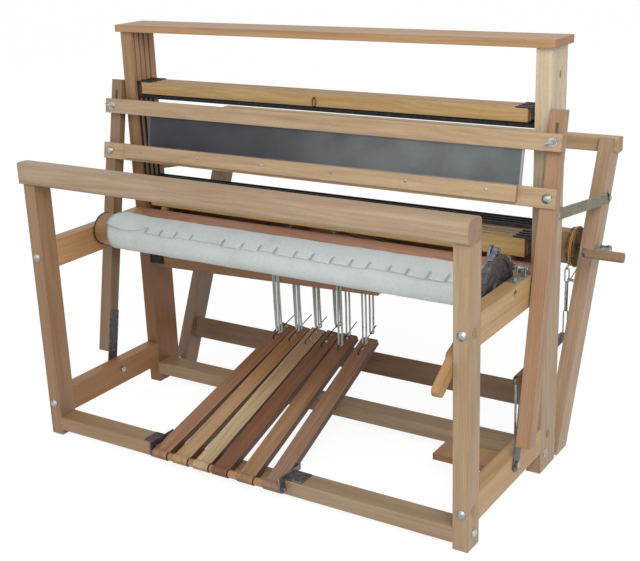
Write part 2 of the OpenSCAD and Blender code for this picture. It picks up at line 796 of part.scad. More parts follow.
// Round tube along a list of points
module swept(path, r, sides) {
    n = len(path);
    rings = [for (i = [0:n - 1])
        let (t = unit(path[min(i + 1, n - 1)] - path[max(i - 1, 0)]),
            u = unit(cross(t, [1, 0, 0.01])), v = cross(t, u))
        [for (j = [0:sides - 1]) path[i] + r * (cos(j * 360 / sides) * u + sin(j * 360 / sides) * v)]];
    points = [for (ring = rings) each ring];
    walls = [for (i = [0:n - 2], j = [0:sides - 1])
        let (a = i * sides + j, b = i * sides + (j + 1) % sides) each
        [[a, b, b + sides], [a, b + sides, a + sides]]];
    polyhedron(points, concat(walls, [[for (j = [0:sides - 1]) sides - 1 - j]],
        [[for (j = [0:sides - 1]) (n - 1) * sides + j]]));
}

function unit(v) = v / norm(v);

module brake_pedal() piece("BurlyWood") {
    difference() {
        side_plate(brake_x - 10, brake_x + 10) bar_2d([pedal_y, pedal_z], pedal_end, pedal_h);
        rod_along_x(bolt_r + fit, brake_x - 12, brake_x + 12, pedal_y, pedal_z);
        translate([brake_x, rod_y, pedal_z - 20]) cylinder(r = 5, h = 50);
    }
    block([brake_x - 174, pedal_y + 135, pedal_z - 20], [brake_x - 10 - fit, pedal_y + 225, pedal_z - 2]);
}

module brake_rod() piece("Silver") {
    under = pedal_z + (pedal_end.y - pedal_z) * (rod_y - pedal_y) / (pedal_end.x - pedal_y) - pedal_h / 2 - 1;
    translate([brake_x, rod_y, under - 12]) cylinder(r = 3, h = brake_z - 6 - 7 - under + 12);
    translate([brake_x, rod_y, under - 8]) hex_nut(nut_r, 8);
    translate([brake_x, rod_y, brake_z - 6]) side_plate(-2, 2) difference() {
        circle(8);
        circle(5);
    }
}

module brake_lever() piece("Sienna") {
    difference() {
        side_plate(brake_x - 6, brake_x + 6) bar_2d([rod_y + 2, brake_z - 6], [chain_y - 20, brake_z + 4], 24);
        rod_along_x(bolt_r + fit, brake_x - 8, brake_x + 8, brake_y, brake_z);
        block([brake_x - 3, rod_y - 12, brake_z - 30], [brake_x + 3, rod_y + 9.5, brake_z + 30]);
    }
    rod_along_x(3, brake_x - 6, brake_x + 6, rod_y, brake_z - 6);
    // Eye at the rear end
    rod_along_y(eye_r, chain_y - 12, chain_y + 12, brake_x, brake_z + 4);
    rod_along_y(eye_r + 2, chain_y + 9, chain_y + 12, brake_x, brake_z + 4);
}

// Closed loop of round stock, standing between two heights of its middle line
module link(z0, z1, w, r) {
    for (x = [-w, w]) translate([x, 0, z0 + w]) cylinder(r = r, h = z1 - z0 - 2 * w);
    for (end = [[z0 + w, 180], [z1 - w, 0]])
        translate([0, 0, end[0]]) rotate([90, 0, 0]) rotate(end[1]) rotate_extrude(angle = 180)
            translate([w, 0]) circle(r);
}

// Chain and turnbuckle between the lever and the cable
module brake_chain() piece("Silver") translate([brake_x, chain_y, 0]) {
    link(ring_z - 42, ring_z - 1, link_w, link_r);
    translate([0, 0, ring_z - buckle_drop]) cylinder(r = buckle_r, h = buckle_len);
    link(brake_z + 4 - eye_r - gap - link_r, ring_z - buckle_drop + 2, link_w, link_r);
}

// Braces from the castle posts to the back legs, hooked over the leg bolts
module braces() piece("DarkSeaGreen") {
    a = [brace_y, brace_z];
    both_sides() side_plate(half_w + 2, half_w + 5.5) difference() {
        bar_2d(a, brace_end, 30);
        translate(a) circle(bolt_r - 1 + fit);
        bar_2d(brace_end, brace_end + 40 * [cos(brace_mouth), sin(brace_mouth)], 2 * bolt_r);
    }
}

// Harnesses

module harness(k) piece("Khaki") {
    y = harness_y(k);
    low = harness_z;
    top = harness_z + harness_h;
    block([-harness_half, y - harness_t / 2, low], [harness_half, y + harness_t / 2, low + harness_low_h]);
    block([-harness_half, y - harness_t / 2, top - harness_bar_h], [harness_half, y + harness_t / 2, top]);
    // Steel ends, side rods and heddle bars
    union() {
        both_sides() {
            translate([in_w - rod_in, y, low + harness_low_h + fit]) cylinder(r = rod_r,
                h = harness_h - harness_low_h + strap_t);
            for (z = [low + harness_low_h + fit, top + fit])
                block([harness_half - 34, y - 5, z], [in_w - rod_in, y + 5, z + strap_t]);
        }
        for (z = [low + harness_low_h + 26, top - harness_bar_h - 14])
            block([-in_w + rod_in, y - 1.5, z], [in_w - rod_in, y + 1.5, z + 10]);
    }
}

// Jack from its rod: the inner arm reaches the lamm's wire, the horn lifts the harness
module jack(k, arm) {
    y = harness_y(k);
    slope = jack_turn / 2;
    horn = harness_z - gap - jack_z;
    inner = [-arm, arm * tan(slope)];
    outer = [jack_out, -jack_out * tan(slope)];
    translate([jack_x, 0, jack_z]) difference() {
        face_plate(y - jack_t / 2, y + jack_t / 2) {
            bar_2d(inner, outer, jack_h);
            bar_2d(outer, [jack_out, horn - jack_h / 2], jack_h);
        }
        rod_along_y(pin_r + fit, y - jack_t, y + jack_t, 0, 0);
        block([-arm - jack_h, y - 3.2, -100], [-arm + 26, y + 3.2, 100]);
    }
}

module left_jack(k) piece("Peru") mirror([1, 0, 0]) jack(k, left_in);
module right_jack(k) piece("Peru") jack(k, right_in);

// Lamm with the two wires that pull its jacks and the pegs of its ties
module lamm(k) piece("SaddleBrown") {
    y = harness_y(k);
    difference() {
        translate([lamm_x, 0, lamm_z]) face_plate(y - jack_t / 2, y + jack_t / 2) rotate(lamm_slope) {
            translate([0, -lamm_h / 2]) square([lamm_end - lamm_x, lamm_h]);
            circle(lamm_h / 2);
        }
        rod_along_y(pin_r + fit, y - jack_t, y + jack_t, lamm_x, lamm_z);
    }
    for (w = [[-jack_x + left_in - 20, left_in - 20], [jack_x - right_in + 6, right_in - 6]]) {
        head = jack_z + w[1] * tan(jack_turn / 2) + jack_h / 2 + 6;
        base = lamm_height(w[0]) + lamm_h / 2 - 2;
        translate([w[0], y, base]) cylinder(r = 1.5, h = head - base);
        translate([w[0], y, head]) cylinder(r = 4.5, h = 3);
    }
    for (t = [k, k % 2 == 1 ? 5 : 6]) {
        x = treadle_x(t, y);
        rod_along_y(peg_r, y - jack_t / 2 - 7, y - jack_t / 2, x, lamm_height(x));
    }
}

// Treadles and their ties

module treadle(k) piece("Peru") {
    slant = atan2(treadle_rear[k - 1] - treadle_front[k - 1], treadle_len);
    translate([treadle_front[k - 1], hinge_y, hinge_z]) rotate([treadle_rise, 0, 0]) {
        difference() {
            union() {
                rod_along_x(nose_r, -treadle_w / 2, treadle_w / 2, 0, 0);
                rotate(-slant) block([-treadle_w / 2, 0, -treadle_t / 2], [treadle_w / 2, treadle_len, treadle_t / 2]);
            }
            rod_along_x(hinge_r + fit, -treadle_w, treadle_w, 0, 0);
        }
        // Wire hook along the rear end for the ties
        rotate(-slant) {
            translate([0, treadle_len - 70, treadle_t / 2]) cylinder(r = hook_r, h = hook_up);
            translate([0, treadle_len - 70, treadle_t / 2 + hook_up]) sphere(hook_r);
            rod_along_y(hook_r, treadle_len - 70, treadle_len - 70 + hook_len, 0, treadle_t / 2 + hook_up);
        }
    }
}

function hook_height(y) = hinge_z + (y - hinge_y) * tan(treadle_rise)
    + (treadle_t / 2 + hook_up) / cos(treadle_rise);

// Closed loop of cord between a lamm's peg and a treadle's hook
module tie_loop(t, k) {
    x = treadle_x(t, harness_y(k));
    y = harness_y(k) - jack_t / 2 - 3.5;
    high = lamm_height(x) + peg_r + gap - loop_r + cord_r;
    low = hook_height(y);
    translate([x, y, 0]) link(low - loop_r, high + loop_r, loop_r, cord_r);
}

module tie(k) piece("White") tie_loop(k, k);

// Ties of the two plain-weave treadles, each to every other lamm
module tabby_ties() piece("White") for (k = [1:4]) tie_loop(k % 2 == 1 ? 5 : 6, k);

front_posts();
castle_posts();
side_rails();
castle_cap();
breast_beam();
crossbars();
jack_boards();
treadle_hinge();
fasteners();
cloth_beam();
cloth_apron();
ratchet_wheel();
advance_lever();
advance_pawl();
holding_pawl();
beater_swords();
lower_beater_bar();
shuttle_race();
reed();
upper_beater_bar();
back_legs();
back_beam();
rear_crossbar();
brake_cable();
warp_beam();
brake_drum();
crank_arm();
crank_handle();
brake_pedal();
brake_rod();
brake_lever();
brake_chain();
braces();
tabby_ties();
for (k = [1:4]) {
    harness(k);
    lamm(k);
    left_jack(k);
    right_jack(k);
    tie(k);
}
for (k = [1:6]) treadle(k);
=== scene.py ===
"""Looks of the folding four-harness floor loom: woods, steel, canvas and cords around its frame."""
import json
import math
import random

import bmesh
import bpy
from mathutils import Matrix, Vector
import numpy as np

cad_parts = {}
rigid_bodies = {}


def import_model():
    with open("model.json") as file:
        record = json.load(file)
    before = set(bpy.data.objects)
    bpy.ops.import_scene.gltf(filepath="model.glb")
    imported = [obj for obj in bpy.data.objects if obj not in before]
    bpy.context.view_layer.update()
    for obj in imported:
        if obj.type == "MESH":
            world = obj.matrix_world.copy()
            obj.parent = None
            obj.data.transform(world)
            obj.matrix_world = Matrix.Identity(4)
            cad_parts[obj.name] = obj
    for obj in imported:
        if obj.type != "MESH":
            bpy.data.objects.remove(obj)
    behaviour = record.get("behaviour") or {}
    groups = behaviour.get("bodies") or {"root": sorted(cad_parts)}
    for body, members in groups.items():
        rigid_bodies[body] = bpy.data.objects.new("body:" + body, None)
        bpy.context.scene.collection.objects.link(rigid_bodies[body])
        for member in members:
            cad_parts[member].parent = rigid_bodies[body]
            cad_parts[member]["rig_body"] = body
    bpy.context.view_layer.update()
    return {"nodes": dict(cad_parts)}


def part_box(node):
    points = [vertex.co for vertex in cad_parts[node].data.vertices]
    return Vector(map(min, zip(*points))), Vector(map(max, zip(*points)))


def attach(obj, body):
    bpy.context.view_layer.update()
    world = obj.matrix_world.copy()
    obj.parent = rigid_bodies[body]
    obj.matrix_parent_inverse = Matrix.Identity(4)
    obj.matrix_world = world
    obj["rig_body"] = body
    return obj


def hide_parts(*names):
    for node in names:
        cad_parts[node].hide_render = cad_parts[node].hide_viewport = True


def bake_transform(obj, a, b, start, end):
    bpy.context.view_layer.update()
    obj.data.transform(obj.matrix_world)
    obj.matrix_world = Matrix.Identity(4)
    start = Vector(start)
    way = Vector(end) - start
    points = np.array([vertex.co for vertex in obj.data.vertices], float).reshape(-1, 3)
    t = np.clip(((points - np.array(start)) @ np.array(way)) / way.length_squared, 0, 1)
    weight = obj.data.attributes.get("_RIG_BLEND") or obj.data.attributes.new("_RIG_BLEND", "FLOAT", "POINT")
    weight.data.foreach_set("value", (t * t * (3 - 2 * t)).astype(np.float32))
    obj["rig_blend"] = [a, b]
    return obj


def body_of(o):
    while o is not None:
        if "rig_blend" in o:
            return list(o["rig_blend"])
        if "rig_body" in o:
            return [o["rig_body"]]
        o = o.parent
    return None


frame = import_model()
nodes = frame["nodes"]

# The loom's own measures in metres, from the middle of its width and the front of its posts
MIDDLE = Vector((0.0445, 0.455895, 0))
HALF_WIDTH = 0.678
INNER = 0.638
CASTLE_FRONT = 0.446
LEG_LEAN = math.radians(23.8)
LEG_FOOT = 0.602
LEG_HALF = 0.032
BEATER = Vector((0, 0.276, 0.108))
BEATER_LEAN = math.radians(10.8)
SWORD_INSIDE = 0.682
SWORD_MIDDLE = 0.701
BAR_BACK = -0.005
BAR_FRONT = -0.025
LOW_BAR = (0.652, 0.700)
HIGH_BAR = (0.789, 0.832)
RACE_FRONT = -0.037
CLOTH_AXIS = Vector((0, 0.254, 0.571))
BEAM_ENDS = (-0.630, 0.602)
CLOTH_PINS = 0.6715
HARNESS_Y = [0.459 + 0.021 * k for k in range(4)]
HARNESS_FOOT = 0.597
HARNESS_TOP = 0.976
HARNESS_BARS = (0.048, 0.034)
HARNESS_HALF = 0.617
JACK_HALF = 0.006
LAMM_START = Vector((-0.600, 0, 0.423))
LAMM_SLOPE = math.radians(1.9)
LAMM_HALF = 0.025
HINGE = Vector((0, -0.014, 0.040))
TREADLE_RISE = math.radians(23.16)
TREADLE_LONG = 0.5647
TREADLE_FRONT = [-0.243, -0.171, -0.100, -0.037, 0.047, 0.131]
TREADLE_REAR = [-0.150, -0.098, -0.045, 0.009, 0.061, 0.128]
HANDLE_START = 0.7133
BRAKE_EYE = 0.7629
GRIP_SIDE = 0.6154
GRIP_REAR = 0.06
HINGE_ROD = 0.0052
TREADLE_HALF = 0.0095
# How far beyond a wooden face the steel on the same piece is taken to start
HAIR = 0.00002
SKIN = 0.0001


def tone(red, green, blue_lit_from_right):
    """A paint-chart colour from 0 to 255 as linear light."""
    def linear(c):
        c /= 255
        return c / 12.92 if c <= 0.04045 else ((c + 0.055) / 1.055) ** 2.4
    return (linear(red), linear(green), linear(blue_lit_from_right), 1)


# Camera

def place_camera():
    """Stands at the loom's front right corner, a little above it, and looks down to the left."""
    stand = Vector((1.6373, -2.5910, 1.4747))
    yaw, pitch, roll = math.radians(33.1), math.radians(-18.5), math.radians(-2.1)
    ahead = Vector((-math.sin(yaw) * math.cos(pitch), math.cos(yaw) * math.cos(pitch), math.sin(pitch)))
    right = ahead.cross(Vector((0, 0, 1))).normalized()
    up = right.cross(ahead)
    across = math.cos(roll) * right + math.sin(roll) * up
    over = math.cos(roll) * up - math.sin(roll) * right
    lens = bpy.data.cameras.new("camera")
    lens.lens, lens.sensor_width = 63.9, 36
    camera = bpy.data.objects.new("camera", lens)
    turn = Matrix((across, over, -ahead)).transposed()
    camera.matrix_world = Matrix.Translation(stand) @ turn.to_4x4()
    bpy.context.collection.objects.link(camera)
    bpy.context.scene.camera = camera


place_camera()


# Finishes

ARRIS = 0.0022


class Signal:
    """One number, colour or place on its way through a finish."""

    def __init__(self, finish, socket):
        self.finish, self.socket = finish, socket

    def math(self, operation, first, second=None):
        numbers = {0: first} if second is None else {0: first, 1: second}
        return self.finish.node("Math", {"operation": operation}, numbers)

    def __add__(self, other):
        return self.math("ADD", self, other)

    __radd__ = __add__

    def __sub__(self, other):
        return self.math("SUBTRACT", self, other)

    def __rsub__(self, other):
        return self.math("SUBTRACT", other, self)

    def __mul__(self, other):
        return self.math("MULTIPLY", self, other)

    __rmul__ = __mul__

    def __gt__(self, other):
        return self.math("GREATER_THAN", self, other)

    def __lt__(self, other):
        return self.math("LESS_THAN", self, other)

    def __or__(self, other):
        return self.math("MAXIMUM", self, other)

    def __abs__(self):
        return self.math("ABSOLUTE", self)

    def wave(self, pitch):
        """Swings between -1 and 1, once in each pitch."""
        return self.math("SINE", self * (2 * math.pi / pitch))

    def ramp(self, low, high):
        """Rises smoothly from 0 at low to 1 at high."""
        settings = {"interpolation_type": "SMOOTHSTEP", "clamp": True}
        return self.finish.node("MapRange", settings, {"Value": self, "From Min": low, "From Max": high})


class Finish:
    """A material being built up from signals."""

    def __init__(self, name):
        self.material = bpy.data.materials.new(name)
        self.material.use_nodes = True
        self.tree = self.material.node_tree
        self.shader = self.tree.nodes["Principled BSDF"]
        self.place = self.node("TexCoord", output="Object")
        self.facing = self.node("TexCoord", output="Normal")
        self.rounded = self.node("Bevel", {"samples": 4}, {"Radius": ARRIS})

    def node(self, kind, settings=None, sockets=None, output=0):
        """Adds a shader node and gives one of its outputs as a signal."""
        made = self.tree.nodes.new("ShaderNode" + kind)
        for key, value in (settings or {}).items():
            setattr(made, key, value)
        for key, value in (sockets or {}).items():
            self.feed(value, self.open_socket(made.inputs, key))
        return Signal(self, self.open_socket(made.outputs, output))

    def open_socket(self, sockets, key):
        """The socket of that number or name among those in use."""
        used = [s for s in sockets if s.enabled]
        return used[key] if isinstance(key, int) else next(s for s in used if s.name == key)

    def feed(self, value, socket):
        if isinstance(value, Signal):
            self.tree.links.new(value.socket, socket)
        else:
            socket.default_value = value

    def dot(self, first, second):
        return self.node("VectorMath", {"operation": "DOT_PRODUCT"}, {0: first, 1: second}, "Value")

    def length(self, reach):
        return self.node("VectorMath", {"operation": "LENGTH"}, {0: reach}, "Value")

    def along(self, direction, start=(0, 0, 0)):
        """Distance of the surface from a start along one direction."""
        direction = Vector(direction)
        return self.dot(self.place, direction) - Vector(start).dot(direction)

    def loom(self, axis):
        """Distance along one of the loom's own axes, from the front of the posts and the middle."""
        return self.along([axis == "x", axis == "y", axis == "z"], -MIDDLE)

    def vector(self, x, y, z):
        return self.node("CombineXYZ", {}, {"X": x, "Y": y, "Z": z})

    def noise(self, place, detail=2.0, roughness=0.5, scale=1.0):
        return self.node("TexNoise", {}, {"Vector": place, "Scale": scale, "Detail": detail,
                                          "Roughness": roughness}, "Fac")

    def mix(self, factor, first, second):
        """Colours mix by a number or a signal."""
        return self.node("Mix", {"data_type": "RGBA"}, {0: factor, "A": first, "B": second})

    def shade(self, factor, first, colour):
        """Darkens the first colour by another, as much as the factor says."""
        return self.node("Mix", {"data_type": "RGBA", "blend_type": "MULTIPLY"},
                         {0: factor, "A": first, "B": colour})

    def choose(self, mask, inner, outer):
        """Where the mask is 1 the inner coat shows, elsewhere the outer."""
        colour = self.mix(mask, outer[0], inner[0])
        return [colour, *[outer[k] + mask * (inner[k] - outer[k]) for k in (1, 2, 3)]]

    def close(self, coat, depth=0.0005, strength=0.4, **constants):
        """Feeds a coat of colour, roughness, metal and height to the shader."""
        colour, roughness, metal, height = coat
        for name, value in (("Base Color", colour), ("Roughness", roughness), ("Metallic", metal)):
            self.feed(value, self.shader.inputs[name])
        bump = self.node("Bump", {}, {"Strength": strength, "Distance": depth, "Height": height,
                                      "Normal": self.rounded})
        self.feed(bump, self.shader.inputs["Normal"])
        for name, value in constants.items():
            self.shader.inputs[name.replace("_", " ").title()].default_value = value
        return self.material

    def edges(self):
        """1 along the arrises, 0 on the flats; timber and steel are lightened there, partly as wear and partly
        as painted highlight.
        """
        flat = self.node("NewGeometry", output="Normal")
        return (1 - self.dot(self.rounded, flat)).ramp(0.01, 0.22)


def timber(f, tones, grain, shift=0.0, figure=1.0, knots=(), others=()):
    """Planed birch: streaks, growth rings and small flecks along the grain, darker end grain.
    shift moves the figure so that no two boards are alike, knots are (place, radius), and
    others are (signal, tones): boards or faces of another colour, where the signal is 1."""
    ring_gap, knot_reach, knot_bend = 0.0085, 4, 1.8
    grain = Vector(grain).normalized()
    flat = grain.cross(Vector((0.31, 0.87, 0.38))).normalized()
    thick = grain.cross(flat)
    u, v, w = f.along(grain), f.along(flat), f.along(thick)
    spots = []
    for spot, size in knots:
        away = f.vector((u - spot.dot(grain)) * 0.6, v - spot.dot(flat), w - spot.dot(thick))
        spots.append((f.length(away), size))
    for reach, size in spots:
        v = v + (1 - reach.ramp(0, size * knot_reach)) * (size * knot_bend)
    sway = f.noise(f.vector(u * 1.7 + shift, v * 8, w * 8), 2.0)
    rings = (v * 0.8 + w * 0.55 + sway * 0.075).wave(ring_gap)
    streak = f.noise(f.vector(u * 2.6, v * 58 + shift, w * 58), 4.0, 0.62)
    fibre = f.noise(f.vector(u * 24, v * 850, w * 850 + shift), 2.0)
    fleck = f.noise(f.vector(u * 95, v * 1250 + shift, w * 1250), 1.0).ramp(0.62, 0.72)
    blotch = f.noise(f.vector(u * 2.0 + shift, v * 9, w * 9), 3.0)
    pale, deep = tone(*tones[0]), tone(*tones[1])
    for where, (first, second) in others:
        pale, deep = f.mix(where, pale, tone(*first)), f.mix(where, deep, tone(*second))
    light = (0.5 + (streak - 0.5) * (2.1 * figure) + rings * (0.11 * figure) + (fibre - 0.5) * 0.5)
    colour = f.mix(light.ramp(-0.15, 1.15), deep, pale)
    colour = f.shade(blotch.ramp(0.42, 0.72) * 0.30, colour, tone(230, 200, 184))
    colour = f.shade(fleck * 0.35, colour, tone(184, 144, 112))
    ends = abs(f.dot(f.facing, grain))
    colour = f.shade(ends.ramp(0.80, 0.95) * 0.5, colour, tone(190, 146, 116))
    # Arrises lightened, partly as wear and partly as painted highlight.
    colour = f.mix(f.edges() * 0.14, colour, tone(224, 198, 162))
    for reach, size in spots:
        core = 1 - reach.ramp(size * 0.3, size)
        colour = f.shade(core * 0.85, colour, tone(112, 70, 46))
    return [colour, 0.46 + streak * 0.14, 0.0, streak * 0.35 + fibre * 0.4 - fleck * 0.35]


def steel(f, colour, dull, rough=0.34, metal=1.0):
    """Plated or bare steel with a mottled skin, its edges lightened partly as wear and partly as painted
    highlight.
    """
    worn_and_highlit = [min(255, c + 40) for c in colour]
    mottle = f.noise(f.place, 4.0, 0.6, 90.0)
    grime = f.noise(f.place, 3.0, 0.6, 24.0)
    skin = f.mix(mottle.ramp(0.35, 0.7), tone(*dull), tone(*colour))
    skin = f.shade(grime.ramp(0.55, 0.75) * 0.35, skin, tone(150, 142, 130))
    # Edges lightened partly as wear, partly as painted highlight.
    skin = f.mix(f.edges() * 0.35, skin, tone(*worn_and_highlit))
    return [skin, rough + mottle * 0.2 + grime * 0.08, metal, mottle * 0.12]


def zinc(f):
    return steel(f, (190, 193, 190), (146, 150, 148), 0.28)


def dark_steel(f):
    return steel(f, (112, 110, 112), (78, 76, 80), 0.38, 0.9)


def grey_steel(f):
    return steel(f, (138, 140, 146), (108, 108, 114), 0.32, 0.95)


def bronze(f):
    return steel(f, (150, 118, 72), (88, 68, 42), 0.4, 0.85)


def black_steel(f):
    return steel(f, (58, 56, 56), (34, 33, 34), 0.45, 0.6)


def rubber(f):
    grit = f.noise(f.place, 3.0, 0.5, 700.0)
    skin = f.mix(grit.ramp(0.3, 0.8), tone(44, 42, 40), tone(66, 64, 60))
    return [skin, 0.72 + grit * 0.12, 0.0, grit]


def shades(red, green, blue_lit_from_right):
    """A board's pale and deep streaks from its main colour."""
    deep = (0.84, 0.79, 0.71)
    return (red, green, blue_lit_from_right), (red * deep[0], green * deep[1], blue_lit_from_right * deep[2])


# The birch, pale birch, rosy birch and honey tones go to right-hand pieces as painted light from the right;
# the birch also colours the plugs in the posts.
BIRCH = shades(172, 148, 118)
LIT_BIRCH = shades(206, 192, 166)
ROSY_BIRCH = shades(180, 156, 130)
GREY_BIRCH = shades(141, 117, 93)
HONEY = shades(188, 156, 112)
TAN = shades(172, 133, 91)
BROWN = shades(152, 116, 84)
DEEP_BROWN = shades(130, 94, 64)
RED = shades(180, 138, 114)
# Painted shade for the treadles' upright sides
SHADED_SIDE = shades(96, 66, 44)
PALE = shades(192, 162, 111)
# Each treadle's colour at the pedal and at the hinge's end
TREADLE_WOODS = [(shades(156, 117, 88), shades(136, 96, 66)),
                 (shades(176, 143, 106), shades(144, 104, 66)),
                 (shades(190, 172, 136), shades(162, 130, 104)),
                 (shades(120, 78, 50), shades(112, 78, 52)),
                 (shades(154, 120, 86), shades(126, 88, 60)),
                 (shades(148, 116, 94), shades(140, 102, 78))]
ALONG_X, ALONG_Y, ALONG_Z = (1, 0, 0), (0, 1, 0), (0, 0, 1)
LEANING_BACK = (0, math.sin(LEG_LEAN), math.cos(LEG_LEAN))
SWORD_WAY = (0, math.sin(BEATER_LEAN), math.cos(BEATER_LEAN))
LAMM_WAY = (math.cos(LAMM_SLOPE), 0, math.sin(LAMM_SLOPE))
GRIP_WAY = (0, 0.83, 0.55)


def wear(node, material):
    """Gives a part of the frame its finish."""
    for slot in nodes[node].material_slots:
        slot.material = material


# 1 on the loom's right half. Wooden pieces there take paler tones than their left twins as painted light from
# the right; the hinge bracket there is grey steel.
def right_side(f):
    return f.loom("x") > 0


def sideways(f):
    """1 on faces that look right, -1 on faces that look left."""
    return f.dot(f.facing, (1, 0, 0))


def shaded_inner_faces(f):
    """1 on the faces of the castle posts that look at the harnesses, where their darker tone is painted shade.
    """
    looks = sideways(f)
    return looks * (f.loom("x") > 0) * -1 + looks * (f.loom("x") < 0) > 0.5


def plain_woods():
    """Pieces that are wood all over."""
    knot = Vector((HALF_WIDTH, 0.502, 1.055)) - MIDDLE
    # The right-hand castle post is paler than the left, and paler still towards its top: painted light from
    # the right.
    castle = [(right_side, BIRCH),
              (lambda f: (f.loom("x") > 0) * f.loom("z").ramp(0.50, 0.85), LIT_BIRCH),
              # Inner faces darker: painted shade.
              (shaded_inner_faces, shades(172, 134, 100)),
              (lambda f: (f.loom("x") < 0) * (1 - f.loom("z").ramp(0.45, 0.95)), shades(140, 94, 54))]
    # The crossbars grow paler towards the right: painted light from the right.
    lit = [(lambda f: f.loom("x").ramp(-0.6, 0.6), shades(164, 143, 116))]
    # Front posts and side rails on the right take paler tones: painted light from the right.
    for node, tones, grain, figure, knots, others in (
            ("front_posts", shades(157, 125, 92), ALONG_Z, 0.8, (), [(right_side, BIRCH)]),
            ("castle_posts", shades(165, 132, 98), ALONG_Z, 0.8, ((knot, 0.009),), castle),
            ("side_rails", shades(163, 120, 76), ALONG_Y, 0.8, (),
             [(lambda f: f.loom("z") > 0.4, shades(192, 150, 102)), (right_side, HONEY)]),
            ("castle_cap", shades(182, 146, 106), ALONG_X, 0.9, (), ()),
            ("breast_beam", shades(174, 152, 126), ALONG_X, 0.9, (), ()),
            ("crossbars", shades(164, 138, 106), ALONG_X, 0.8, (), lit),
            ("jack_boards", RED, ALONG_X, 1.0, (), ()),
            ("lower_beater_bar", shades(184, 160, 128), ALONG_X, 0.9, (), ()),
            ("shuttle_race", shades(188, 164, 132), ALONG_X, 0.7, (), ()),
            ("back_beam", shades(190, 166, 132), ALONG_X, 0.8, (), ()),
            ("rear_crossbar", shades(132, 106, 84), ALONG_X, 0.9, (), ()),
            ("brake_pedal", TAN, ALONG_Y, 0.8, (), ())):
        f = Finish(node + "_wood")
        changes = [(where(f), colours) for where, colours in others]
        shift = len(node) * 1.7
        coat = timber(f, tones, grain, shift, figure, knots, changes)
        wear(node, f.close(coat, coat_weight=0.12, coat_roughness=0.35))


def fitted_wood(node, tones, grain, metal_where, metal=zinc, shift=0.0, figure=0.9, others=()):
    """Wood with steel fittings on the same piece, where metal_where is 1."""
    f = Finish(node + "_wood")
    changes = [(where(f), colours) for where, colours in others]
    coat = f.choose(metal_where(f), metal(f), timber(f, tones, grain, shift, figure, (), changes))
    wear(node, f.close(coat, coat_weight=0.1, coat_roughness=0.35))


# Steel fittings on wood, each 1 on the steel

def beside_sword(f):
    return abs(f.loom("x")) < SWORD_INSIDE - SKIN


def bar_bolts(f):
    back = f.along((0, math.cos(BEATER_LEAN), -math.sin(BEATER_LEAN)), BEATER - MIDDLE)
    sunk = 0.00028
    return (back < BAR_FRONT - HAIR) | (back > BAR_BACK - sunk)


def leg_fittings(f):
    front = f.along((0, math.cos(LEG_LEAN), -math.sin(LEG_LEAN)), Vector((0, LEG_FOOT, 0)) - MIDDLE)
    wide = abs(f.loom("x"))
    return (front < -LEG_HALF - SKIN) | (wide < INNER - SKIN) | (wide > HALF_WIDTH + SKIN)


def beam_ends(f):
    x = f.loom("x")
    return (x < BEAM_ENDS[0] - HAIR / 2) | (x > BEAM_ENDS[1] + HAIR / 2)


def cloth_beam_ends(f):
    return beam_ends(f) * (abs(f.loom("x")) < CLOTH_PINS)


def harness_steel(f):
    height = f.loom("z")
    lower, upper = HARNESS_BARS
    between = (height > HARNESS_FOOT + lower + HAIR) * (height < HARNESS_TOP - upper - HAIR)
    return between | (abs(f.loom("x")) > HARNESS_HALF + HAIR) | (height > HARNESS_TOP + HAIR)


def lamm_steel(y):
    """The fittings of the lamm that lies y behind the front of the posts."""
    def fittings(f):
        out = f.along((-math.sin(LAMM_SLOPE), 0, math.cos(LAMM_SLOPE)), LAMM_START - MIDDLE)
        return (abs(out) > LAMM_HALF + HAIR) | (abs(f.loom("y") - y) > JACK_HALF + HAIR)
    return fittings


def treadle_steel(f):
    out = f.along((0, -math.sin(TREADLE_RISE), math.cos(TREADLE_RISE)), HINGE - MIDDLE)
    behind_pedal = 0.2
    return (out > TREADLE_HALF + HAIR) * (f.loom("y") > behind_pedal)


def outside_grip(f):
    return 1 - (f.loom("x") > GRIP_SIDE) * (f.loom("y") < GRIP_REAR)


def shaded_treadle_sides(f):
    """1 on the treadles' upright side faces, painted darker as shade."""
    return abs(sideways(f)) > 0.6


def treadle_run(k):
    """From one treadle's hinge to its raised end."""
    return Vector((TREADLE_REAR[k] - TREADLE_FRONT[k], TREADLE_LONG * math.cos(TREADLE_RISE),
                   TREADLE_LONG * math.sin(TREADLE_RISE)))


